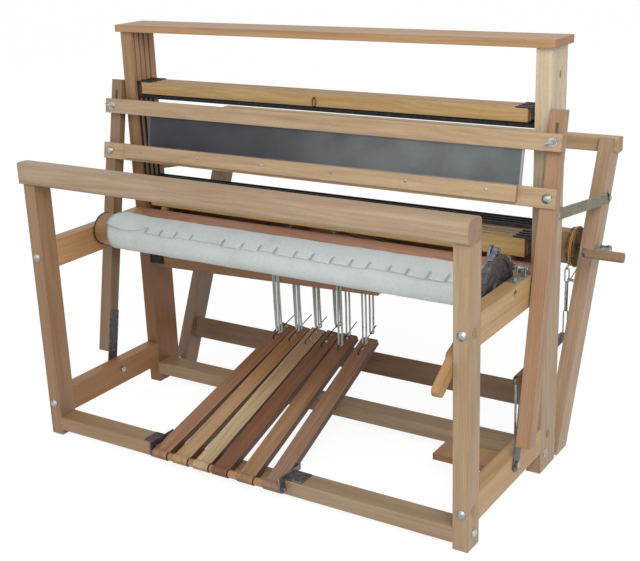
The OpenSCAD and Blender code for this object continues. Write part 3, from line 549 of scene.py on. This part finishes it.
def fitted_woods():
    """Pieces of wood that carry their own steel."""
    # The right-hand sword and back leg take paler tones: painted light from the right.
    fitted_wood("beater_swords", shades(140, 114, 88), SWORD_WAY, beside_sword, dark_steel, 3.1, 0.9,
                [(right_side, shades(168, 134, 105))])
    fitted_wood("upper_beater_bar", shades(184, 159, 128), ALONG_X, bar_bolts, zinc, 5.3)
    fitted_wood("back_legs", GREY_BIRCH, LEANING_BACK, leg_fittings, zinc, 7.7, 0.9,
                [(right_side, ROSY_BIRCH)])
    fitted_wood("cloth_beam", TAN, ALONG_X, cloth_beam_ends, black_steel, 2.9)
    fitted_wood("warp_beam", BROWN, ALONG_X, beam_ends, zinc, 4.3)
    fitted_wood("crank_handle", shades(152, 127, 104), ALONG_X, lambda f: f.loom("x") < HANDLE_START,
                dark_steel, 1.3)
    fitted_wood("brake_lever", DEEP_BROWN, ALONG_Y, lambda f: f.loom("y") > BRAKE_EYE, zinc, 6.1)
    fitted_wood("advance_lever", TAN, GRIP_WAY, outside_grip, grey_steel, 8.9)
    for k in range(4):
        number = str(k + 1)
        fitted_wood("harness_" + number, PALE, ALONG_X, harness_steel, black_steel, 1.9 * k)
        fitted_wood("lamm_" + number, BROWN, LAMM_WAY, lamm_steel(HARNESS_Y[k]), zinc, 2.3 * k)
        for side in ("left_jack_", "right_jack_"):
            f = Finish(side + number + "_wood")
            wear(side + number, f.close(timber(f, TAN, ALONG_X, 3.7 * k + len(side), 0.9)))
    for k, (front, rear) in enumerate(TREADLE_WOODS):
        # Towards the back each treadle takes its rear tone; its upright sides take painted shade.
        others = [(lambda f: f.loom("y").ramp(0.16, 0.40), rear), (shaded_treadle_sides, SHADED_SIDE)]
        fitted_wood("treadle_" + str(k + 1), front, treadle_run(k), treadle_steel, black_steel, 4.1 * k, 1.3,
                    others)


def metals():
    """Pieces of steel and brass."""
    for node, look in (("ratchet_wheel", dark_steel), ("advance_pawl", grey_steel),
                       ("holding_pawl", grey_steel), ("brake_drum", bronze), ("crank_arm", grey_steel),
                       ("cloth_apron", zinc), ("brake_rod", zinc), ("brake_chain", zinc),
                       ("reed", dark_steel)):
        f = Finish(node + "_steel")
        wear(node, f.close(look(f), 0.0002, 0.3))
    fasteners()
    treadle_hinge()
    braces()
    brake_cable()


def fasteners():
    """Zinc bolts, rubber pads in front of the castle, the lamms' black ears and plugs in the posts."""
    pad_low, pad_high, ear_right, ear_half = 0.893, 0.915, -0.58, 0.02
    front_plugs, castle_plugs, plug_radius, plug_top = 0.030, 0.497, 0.014, 0.2
    f = Finish("fasteners_zinc")
    x, y, z = f.loom("x"), f.loom("y"), f.loom("z")
    pads = (z > pad_low) * (z < pad_high) * (y < CASTLE_FRONT)
    ears = (x < ear_right) * (abs(z - LAMM_START.z) < ear_half)
    plugs = (abs(x) > HALF_WIDTH) * ((abs(y - front_plugs) < plug_radius)
                                     | (abs(y - castle_plugs) < plug_radius) * (z < plug_top))
    coat = f.choose(pads, rubber(f), f.choose(ears, black_steel(f), zinc(f)))
    coat = f.choose(plugs, timber(f, BIRCH, ALONG_Z), coat)
    wear("fasteners", f.close(coat, 0.0002, 0.3))


def treadle_hinge():
    """Steel rod and brackets, with wooden spacers between the treadles."""
    spacers_left, spacers_right = -0.2685, 0.1565
    f = Finish("treadle_hinge_steel")
    out = f.length(f.vector(0.0, f.loom("y") - HINGE.y, f.loom("z") - HINGE.z))
    spacers = (f.loom("x") > spacers_left) * (f.loom("x") < spacers_right) * (out > HINGE_ROD)
    brackets = f.choose(right_side(f), grey_steel(f), dark_steel(f))
    wear("treadle_hinge", f.close(f.choose(spacers, timber(f, TAN, ALONG_X), brackets), 0.0003, 0.3))


def braces():
    """Olive paint, chipped to bright steel on the flats and the edges."""
    f = Finish("braces_paint")
    chips = f.noise(f.place, 5.0, 0.65, 46.0)
    olive = f.mix(chips.ramp(0.3, 0.75), tone(94, 87, 64), tone(128, 120, 92))
    paint = [olive, 0.42 + chips * 0.15, 0.0, chips]
    bare = (chips > 0.66) | (f.edges() * chips > 0.42)
    wear("braces", f.close(f.choose(bare, zinc(f), paint), 0.0002, 0.3))


def brake_cable():
    """Brassy wire rope, its strands showing as slanting bands of painted shade and highlight."""
    strand_pitch = 0.0042
    f = Finish("brake_cable_wire")
    strand = f.along((0.6, 0.55, 0.58)).wave(strand_pitch)
    # Dark and bright bands across the strands: painted shade and highlight.
    brass = f.mix(strand.ramp(-1, 1), tone(150, 112, 60), tone(226, 184, 118))
    wear("brake_cable", f.close([brass, 0.42 - strand * 0.08, 0.9, strand], 0.0006, 0.8))


def cotton(name, first, second):
    """Plied cotton cord, its strands laid slantwise, darker between them as painted shade."""
    strand_pitch = 0.0026
    f = Finish(name)
    lay = (f.loom("z") + f.loom("x") * 0.8 + f.loom("y") * 0.8).wave(strand_pitch)
    fuzz = f.noise(f.place, 3.0, 0.6, 900.0)
    # Bands darker between the strands are painted shade; the fuzz is the cord's own unevenness.
    skin = f.mix((lay * 0.35 + fuzz).ramp(0.1, 0.9), tone(*first), tone(*second))
    return f.close([skin, 0.9, 0.0, lay * 0.7 + fuzz * 0.3], 0.0005, 0.8)


def canvas():
    """Unbleached canvas wound on its beam, threads along and around it."""
    roll_radius, thread = 0.052, 0.0016
    f = Finish("apron_canvas")
    y, z = f.loom("y") - CLOTH_AXIS.y, f.loom("z") - CLOTH_AXIS.z
    around = f.node("Math", {"operation": "ARCTAN2"}, {0: z, 1: y}) * roll_radius
    warp, weft = around.wave(thread), f.loom("x").wave(thread)
    slub = f.noise(f.vector(f.loom("x") * 60, around * 900, 0.0), 3.0) \
        + f.noise(f.vector(f.loom("x") * 900, around * 60, 3.0), 3.0)
    stain = f.noise(f.place, 4.0, 0.6, 9.0)
    cloth = f.mix((slub - 0.5).ramp(0, 1), tone(198, 208, 208), tone(224, 232, 232))
    cloth = f.shade(stain.ramp(0.45, 0.75) * 0.35, cloth, tone(224, 216, 196))
    return f.close([cloth, 0.93, 0.0, warp * weft * 0.5 + slub * 0.5], 0.0004, 0.5)


# Shapes

def link(name, mesh, body, material, smooth=False):
    """Puts a finished mesh on the loom, riding on one body, or on none if it is to be blended."""
    piece = bpy.data.objects.new(name, mesh)
    bpy.context.collection.objects.link(piece)
    mesh.materials.append(material)
    for face in mesh.polygons:
        face.use_smooth = smooth
    if body:
        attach(piece, body)
    return piece


def mesh_of(name, points, faces):
    """A mesh from points in the loom's own measures, its faces turned outwards."""
    mesh = bpy.data.meshes.new(name)
    mesh.from_pydata([p - MIDDLE for p in points], [], faces)
    work = bmesh.new()
    work.from_mesh(mesh)
    bmesh.ops.recalc_face_normals(work, faces=work.faces)
    work.to_mesh(mesh)
    work.free()
    return mesh


def turned(points, faces, centre, axis, profile, sides=20):
    """Adds a turned shape whose profile is pairs of radius and distance along the axis, end to end."""
    axis = Vector(axis).normalized()
    first = axis.orthogonal().normalized()
    second = axis.cross(first)
    start = len(points)
    for radius, reach in profile:
        for k in range(sides):
            turn = 2 * math.pi * k / sides
            points.append(centre + axis * reach + radius * (math.cos(turn) * first + math.sin(turn) * second))
    for ring in range(len(profile) - 1):
        for k in range(sides):
            a, b = start + ring * sides + k, start + ring * sides + (k + 1) % sides
            faces.append((a, b, b + sides, a + sides))
    faces.append(tuple(range(start, start + sides))[::-1])
    last = start + (len(profile) - 1) * sides
    faces.append(tuple(range(last, last + sides)))


def boxed(points, faces, low, high, turn=None):
    """Adds a block between two corners, each carried elsewhere by turn if one is given."""
    start = len(points)
    for x in (low[0], high[0]):
        for y in (low[1], high[1]):
            for z in (low[2], high[2]):
                corner = Vector((x, y, z))
                points.append(turn(corner) if turn else corner)
    for face in ((0, 1, 3, 2), (4, 6, 7, 5), (0, 4, 5, 1), (2, 3, 7, 6), (0, 2, 6, 4), (1, 5, 7, 3)):
        faces.append(tuple(start + k for k in face))


def on_beater(p):
    """From the beater's own upright measures to the loom's."""
    return BEATER + Matrix.Rotation(-BEATER_LEAN, 3, "X") @ Vector(p)


def reed():
    """The reed: 560 flat steel dents between two bound ribs."""
    points, faces = [], []
    middle = (BAR_BACK + BAR_FRONT) / 2
    left, length, in_groove = -0.558, 1.187, 0.0077
    low, high = LOW_BAR[1] - in_groove, HIGH_BAR[0] + in_groove
    count, margin, half_thick, half_deep = 560, 0.008, 0.0003, 0.0019
    for k in range(count):
        x = left + margin + (length - 2 * margin) * k / (count - 1)
        boxed(points, faces, (x - half_thick, middle - half_deep, low),
              (x + half_thick, middle + half_deep, high), on_beater)
    end_wide, end_half = 0.006, 0.0023
    for x in (left, left + length - end_wide):
        boxed(points, faces, (x, middle - end_half, low), (x + end_wide, middle + end_half, high), on_beater)
    rib_high, rib_inside, rib_outside = 0.0095, 0.0015, 0.0024
    for z in (low, high - rib_high):
        for side in (-1, 1):
            near, far = sorted((side * rib_inside, side * rib_outside))
            boxed(points, faces, (left, middle + near, z), (left + length, middle + far, z + rib_high),
                  on_beater)
    f = Finish("reed_dents")
    span = f.loom("x")
    patch = f.noise(f.vector(span * 7, 0.0, f.loom("z") * 9), 4.0, 0.6)
    # Darker at the left end, paler at the right: painted light from the right.
    blue_lit_from_right = f.mix(span.ramp(-0.4, 0.5), tone(92, 90, 100), tone(149, 156, 158))
    skin = f.shade(patch.ramp(0.35, 0.75) * 0.5, blue_lit_from_right, tone(160, 160, 164))
    material = f.close([skin, 0.4 + patch * 0.2, 0.55, patch], 0.0001, 0.1)
    piece = link("reed_with_dents", mesh_of("reed_with_dents", points, faces), body_of(nodes["reed"])[0],
                 material)
    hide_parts("reed")


def apron():
    """The canvas apron, wound on its beam, its free edge cut into tabs and its left corner drawn in."""
    draw = random.Random(7)
    left, right = -0.578, 0.598
    inside, outside, turns = 0.0468, 0.0540, 3
    # Where round the beam the edge ends, the corner is drawn in and the loose corner stands highest
    stop, corner, crest = math.radians(180 - 23), math.radians(62), math.radians(112)
    tab_long, narrowest, half_slit, thickness = 0.020, 0.045, 0.0002, 0.0009
    drawn_in, loose_high, loose_wide, same_spot = 0.040, 0.0085, 0.13, 0.00002
    widths = [0.150, 0.053, 0.053, 0.055, 0.112, 0.064]
    cuts = [left]
    while cuts[-1] < right - narrowest:
        width = widths.pop(0) if widths else draw.uniform(0.050, 0.070)
        cuts.append(min(cuts[-1] + width, right))
    cuts[-1] = right
    body, tab_rows, column_wide = 190, 8, 0.010
    rows, round_beam = body + tab_rows, turns * 2 * math.pi
    last = stop - tab_long / outside
    points, faces = [], []
    for number, (x0, x1) in enumerate(zip(cuts, cuts[1:])):
        drop, tilt = draw.uniform(-0.0035, 0.0030), draw.uniform(0.0, 0.0025)
        lift, slant = draw.uniform(0.0008, 0.0012), -0.007 if number else 0
        columns = max(3, round((x1 - x0) / column_wide))
        start = len(points)
        for c in range(columns + 1):
            t = c / columns
            x = x0 + (x1 - x0) * t
            edge = drop + tilt * t if number else -0.011 + 0.030 * t - 0.039 * t ** 3
            wave = 0.0005 * math.sin(x * 31) + 0.0004 * math.sin(x * 83 + 1.1)
            slit = (c == 0 and number > 0) * half_slit - (c == columns and x1 < right) * half_slit
            for row in range(rows + 1):
                free = max(0.0, (row - body) / tab_rows)
                angle = last - (1 - min(1, row / body)) * round_beam + free * (tab_long + edge) / outside
                s = 1 - (stop - angle) / round_beam
                radius = inside + (outside - inside) * s + wave * max(0.0, s - 0.5) * 2 + lift * free ** 2
                tuck = drawn_in * max(0.0, math.cos(angle - corner)) ** 3 * (1 - t) if number == 0 else 0
                loose = max(0.0, 1 - (x - left) / loose_wide) * max(0.0, math.cos(angle - crest))
                radius += loose_high * loose ** 2 * max(0.0, s - 0.6) * 2.5
                across = x + slit * (free > 0) + slant * free + tuck
                points.append(CLOTH_AXIS + Vector((across, radius * math.cos(angle),
                                                   radius * math.sin(angle))))
        for c in range(columns):
            for row in range(rows):
                p = start + c * (rows + 1) + row
                faces.append((p, p + 1, p + rows + 2, p + rows + 1))
    mesh = mesh_of("apron_sheet", points, faces)
    work = bmesh.new()
    work.from_mesh(mesh)
    bmesh.ops.remove_doubles(work, verts=work.verts, dist=same_spot)
    bmesh.ops.recalc_face_normals(work, faces=work.faces)
    work.to_mesh(mesh)
    work.free()
    piece = link("apron_sheet", mesh, body_of(nodes["cloth_apron"])[0], canvas(), True)
    thick = piece.modifiers.new("thickness", "SOLIDIFY")
    thick.thickness, thick.offset = thickness, 0
    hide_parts("cloth_apron")


# How far a loop of cord hangs below the ends of its straight runs, at most
CORD_FOOT = 0.0048


def cord_loop(points, faces, x, y, low, high, half, bow, thick=0.0028, part="whole", back=0.0):
    """Adds a loop of cord whose middle line stands from low to high, each run half from the middle.
    bow swings both runs sideways, thick is the cord's radius, part is the whole loop, or what lies
    above or below a quarter of its height, and back is how far its foot stands behind its top."""
    steps, sides = 8, 8
    foot = min(half, CORD_FOOT)
    run = high - half - low - foot
    middle = []
    for k in range(steps + 1):
        middle.append((half + bow * math.sin(math.pi * k / steps), low + foot + run * k / steps))
    for k in range(1, steps):
        turn = math.pi * k / steps
        middle.append((half * math.cos(turn), high - half + half * math.sin(turn)))
    for k in range(steps + 1):
        middle.append((-half + bow * math.sin(math.pi * k / steps), high - half - run * k / steps))
    for k in range(1, steps):
        turn = math.pi + math.pi * k / steps
        middle.append((half * math.cos(turn), low + foot + foot * math.sin(turn)))
    whole = part == "whole"
    if not whole:
        rising, falling = steps // 4, steps * 3 - steps // 4
        middle = middle[rising:falling + 1] if part == "upper" else middle[falling:] + middle[:rising + 1]
    start, count = len(points), len(middle)
    for k, (across, height) in enumerate(middle):
        before = middle[k - 1] if whole or k else middle[0]
        after = middle[(k + 1) % count] if whole or k < count - 1 else middle[-1]
        way = Vector((after[0] - before[0], 0, after[1] - before[1])).normalized()
        out = Vector((way.z, 0, -way.x))
        for j in range(sides):
            turn = 2 * math.pi * j / sides
            set_back = back * (high - height) / (high - low)
            points.append(Vector((x + across, y + set_back, height))
                          + thick * (math.cos(turn) * out + math.sin(turn) * Vector((0, 1, 0))))
    for k in range(count if whole else count - 1):
        for j in range(sides):
            a, b = start + k * sides + j, start + k * sides + (j + 1) % sides
            c, d = start + (k + 1) % count * sides + (j + 1) % sides, start + (k + 1) % count * sides + j
            faces.append((a, b, c, d))
    if not whole:
        faces.append(tuple(range(start, start + sides)))
        faces.append(tuple(range(start + (count - 1) * sides, start + count * sides)))


def ties():
    """Cord ties from the lamms' pegs to the treadles' hooks, doubled on the first four treadles."""
    material = cotton("tie_cotton", (152, 158, 156), (202, 207, 203))
    treadle_end, before_lamm, hook_high = 0.505, 0.0035, 0.0195
    under_hook, over_peg, over_outer, behind = 0.0051, 0.0049, 0.0106, 0.0058
    inner_half, outer_half, tabby_half = 0.0043, 0.0100, 0.0058
    inner_bow, outer_bow, tabby_bow = 0.0006, -0.0010, 0.0008
    joint_share, top_fade, foot_fade = 0.25, 0.006, 0.004

    def place(treadle, harness):
        """Where a tie hangs: across, back, its peg's height and its hook's height."""
        y = HARNESS_Y[harness]
        share = (y - HINGE.y) / (treadle_end - HINGE.y)
        x = TREADLE_FRONT[treadle] + (TREADLE_REAR[treadle] - TREADLE_FRONT[treadle]) * share
        y -= JACK_HALF + before_lamm
        peg = LAMM_START.z + (x - LAMM_START.x) * math.tan(LAMM_SLOPE)
        hook = HINGE.z + (y - HINGE.y) * math.tan(TREADLE_RISE) + hook_high / math.cos(TREADLE_RISE)
        return x, y, peg, hook

    for k in range(4):
        x, y, peg, hook = place(k, k)
        points, faces = [], []
        cord_loop(points, faces, x, y, hook - under_hook, peg + over_peg, inner_half, inner_bow)
        cord_loop(points, faces, x, y, hook - under_hook + behind * math.tan(TREADLE_RISE),
                  peg + over_outer, outer_half, outer_bow, back=behind)
        name = "tie_cord_" + str(k + 1)
        piece = link(name, mesh_of(name, points, faces), body_of(nodes["tie_" + str(k + 1)])[0], material,
                     True)
        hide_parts("tie_" + str(k + 1))
    loose = []
    for treadle in (4, 5):
        low_points, low_faces = [], []
        for harness in (treadle - 4, treadle - 2):
            x, y, peg, hook = place(treadle, harness)
            loop = (x, y, hook - under_hook, peg + over_peg, tabby_half, tabby_bow)
            foot, head = hook - under_hook + CORD_FOOT, peg + over_peg - tabby_half
            joint = Vector((x, y, foot + joint_share * (head - foot)))
            cord_loop(low_points, low_faces, *loop, part="lower")
            points, faces = [], []
            cord_loop(points, faces, *loop, part="upper")
            name = "tie_top_" + str(treadle + 1) + "_" + str(harness + 1)
            piece = link(name, mesh_of(name, points, faces), None, material, True)
            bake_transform(piece, "frame", body_of(nodes["lamm_" + str(harness + 1)])[0], start=joint - MIDDLE,
                     end=Vector((x, y, peg - top_fade)) - MIDDLE)
            loose.append(piece)
        name = "tie_cords_" + str(treadle + 1)
        piece = link(name, mesh_of(name, low_points, low_faces), None, material, True)
        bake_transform(piece, "frame", "treadle_" + str(treadle + 1), start=joint - MIDDLE,
                 end=Vector((x, y, hook + foot_fade)) - MIDDLE)
        loose.append(piece)
    for piece in loose:
        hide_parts("tabby_ties")


def screw_eye():
    """A brown screw eye in the front of the first harness's top bar."""
    f = Finish("screw_eye_steel")
    brown = f.close(steel(f, (112, 78, 58), (70, 48, 38), 0.42, 0.8), 0.0002, 0.3)
    front = HARNESS_Y[0] - 0.0095
    bottom, top, half, bow, wire, sides = 0.944, 0.966, 0.0052, 0.0008, 0.0013, 12
    shank = [(0.0030, 0.0), (0.0030, 0.0012), (0.0014, 0.0022), (0.0012, 0.0036)]
    points, faces = [], []
    cord_loop(points, faces, 0.0, front - wire * 2, bottom, top, half, bow, wire)
    turned(points, faces, Vector((0.0, front + 0.0002, top)), (0, -1, 0), shank, sides)
    link("screw_eye", mesh_of("screw_eye", points, faces), body_of(nodes["harness_1"])[0], brown,
         True)


def fixing(name, node, spots, way, profile, material):
    """Turned heads of nails, screws or bolts at several spots on one piece."""
    points, faces = [], []
    for spot in spots:
        turned(points, faces, Vector(spot), way, profile)
    link(name, mesh_of(name, points, faces), body_of(nodes[node])[0], material, True)


def nails_and_screws():
    """Small fixings: nails in the race, bolts in the posts and the bars, screws in the cap and treadles."""
    f = Finish("small_fixings_zinc")
    bright = f.close(zinc(f), 0.0002, 0.3)
    front = (on_beater((0, -1, 0)) - on_beater((0, 0, 0))).normalized()
    dome = [(0.0042, 0.0), (0.0040, 0.0009), (0.0028, 0.0018), (0.0012, 0.0022)]
    bolt = [(0.0125, 0.0), (0.0125, 0.0014), (0.0088, 0.0016), (0.0080, 0.0040), (0.0054, 0.0058),
            (0.0018, 0.0064)]
    screw = [(0.0036, 0.0), (0.0032, 0.0008), (0.0012, 0.0012)]
    big_screw = [(0.0046, 0.0), (0.0042, 0.0012), (0.0018, 0.0024)]
    nail_height = LOW_BAR[1] - 0.017
    fixing("race_nails", "shuttle_race", [on_beater((x, RACE_FRONT, nail_height))
                                          for x in (-0.570, -0.355, -0.130, 0.095, 0.322, 0.547)],
           front, dome, bright)
    fixing("lower_bar_bolts", "lower_beater_bar",
           [on_beater((x, BAR_FRONT, (LOW_BAR[0] + LOW_BAR[1]) / 2)) for x in (-SWORD_MIDDLE, SWORD_MIDDLE)],
           front, bolt, bright)
    fixing("front_post_bolts", "front_posts",
           [(x, 0.0, z) for x in (-0.660, 0.660) for z in (0.0975, 0.547)], (0, -1, 0), bolt, bright)
    for name, node, spots in (("front_crossbar_bolts", "front_posts", (0.034, 0.037)),
                              ("castle_crossbar_bolts", "castle_posts", (0.478, 0.048))):
        for way in (-1, 1):
            fixing(name + ("_left" if way < 0 else "_right"), node, [(way * HALF_WIDTH, *spots)],
                   (way, 0, 0), bolt, bright)
    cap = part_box("castle_cap")[1].z
    fixing("cap_screws", "castle_cap", [(x, 0.497, cap) for x in (-0.655, 0.655)], (0, 0, 1), screw, bright)
    up = Vector((0, -math.sin(TREADLE_RISE), math.cos(TREADLE_RISE)))
    for k in range(6):
        foot = HINGE + Vector((TREADLE_FRONT[k], 0, 0)) + up * TREADLE_HALF
        fixing("treadle_screws_" + str(k + 1), "treadle_" + str(k + 1),
               [foot + treadle_run(k) * t for t in (0.97, 0.92)], up, big_screw, bright)


plain_woods()
fitted_woods()
metals()
reed()
apron()
ties()
screw_eye()
nails_and_screws()


# Room

def room():
    """A pale floor that keeps the loom's shadow, white light around it and a large soft lamp."""
    bpy.context.scene.view_settings.view_transform = "Standard"
    side, paper_white, paper_share, low_light, full_light = 14, 1.12, 0.80, 0.50, 1.0
    white, aim_at = (1, 1, 1, 1), Vector((0, 0, 0.5))
    mesh = bpy.data.meshes.new("floor")
    mesh.from_pydata([(-side, -side, 0), (side, -side, 0), (side, side, 0), (-side, side, 0)], [],
                     [(0, 1, 2, 3)])
    floor = bpy.data.objects.new("floor", mesh)
    bpy.context.collection.objects.link(floor)
    f = Finish("floor_paint")
    f.close([(0.90, 0.90, 0.90, 1), 0.9, 0.0, 0.0], 0.001, 0.0)
    seen = f.node("LightPath", output="Is Camera Ray") + f.node("LightPath", output="Is Glossy Ray") \
        + f.node("LightPath", output="Is Transmission Ray")
    paper = f.node("Emission", {}, {"Color": white, "Strength": paper_white})
    sheet = f.node("MixShader", {}, {0: seen * paper_share, 1: Signal(f, f.shader.outputs[0]), 2: paper})
    f.tree.links.new(sheet.socket, f.tree.nodes["Material Output"].inputs["Surface"])
    mesh.materials.append(f.material)
    world = bpy.data.worlds.new("studio")
    bpy.context.scene.world = world
    world.use_nodes = True
    tree = world.node_tree
    backdrop = tree.nodes["Background"]
    backdrop.inputs["Color"].default_value = white
    seen = tree.nodes.new("ShaderNodeLightPath")
    total = 0.0
    for ray in ("Is Camera Ray", "Is Glossy Ray", "Is Transmission Ray"):
        add = tree.nodes.new("ShaderNodeMath")
        add.operation, add.use_clamp = "ADD", True
        tree.links.new(seen.outputs[ray], add.inputs[0])
        if total:
            tree.links.new(total, add.inputs[1])
        else:
            add.inputs[1].default_value = 0.0
        total = add.outputs[0]
    power = tree.nodes.new("ShaderNodeMapRange")
    power.inputs["To Min"].default_value = low_light
    power.inputs["To Max"].default_value = full_light
    tree.links.new(total, power.inputs["Value"])
    tree.links.new(power.outputs[0], backdrop.inputs["Strength"])
    for name, spot, size, watts in (("key", (2.4, -2.4, 2.8), 2.2, 100),
                                    ("fill", (-1.6, -3.6, 2.4), 3.0, 22)):
        lamp = bpy.data.lights.new(name, "AREA")
        lamp.size, lamp.energy = size, watts
        holder = bpy.data.objects.new(name, lamp)
        holder.location = spot
        aim = aim_at - Vector(spot)
        holder.rotation_euler = aim.to_track_quat("-Z", "Y").to_euler()
        bpy.context.collection.objects.link(holder)


room()
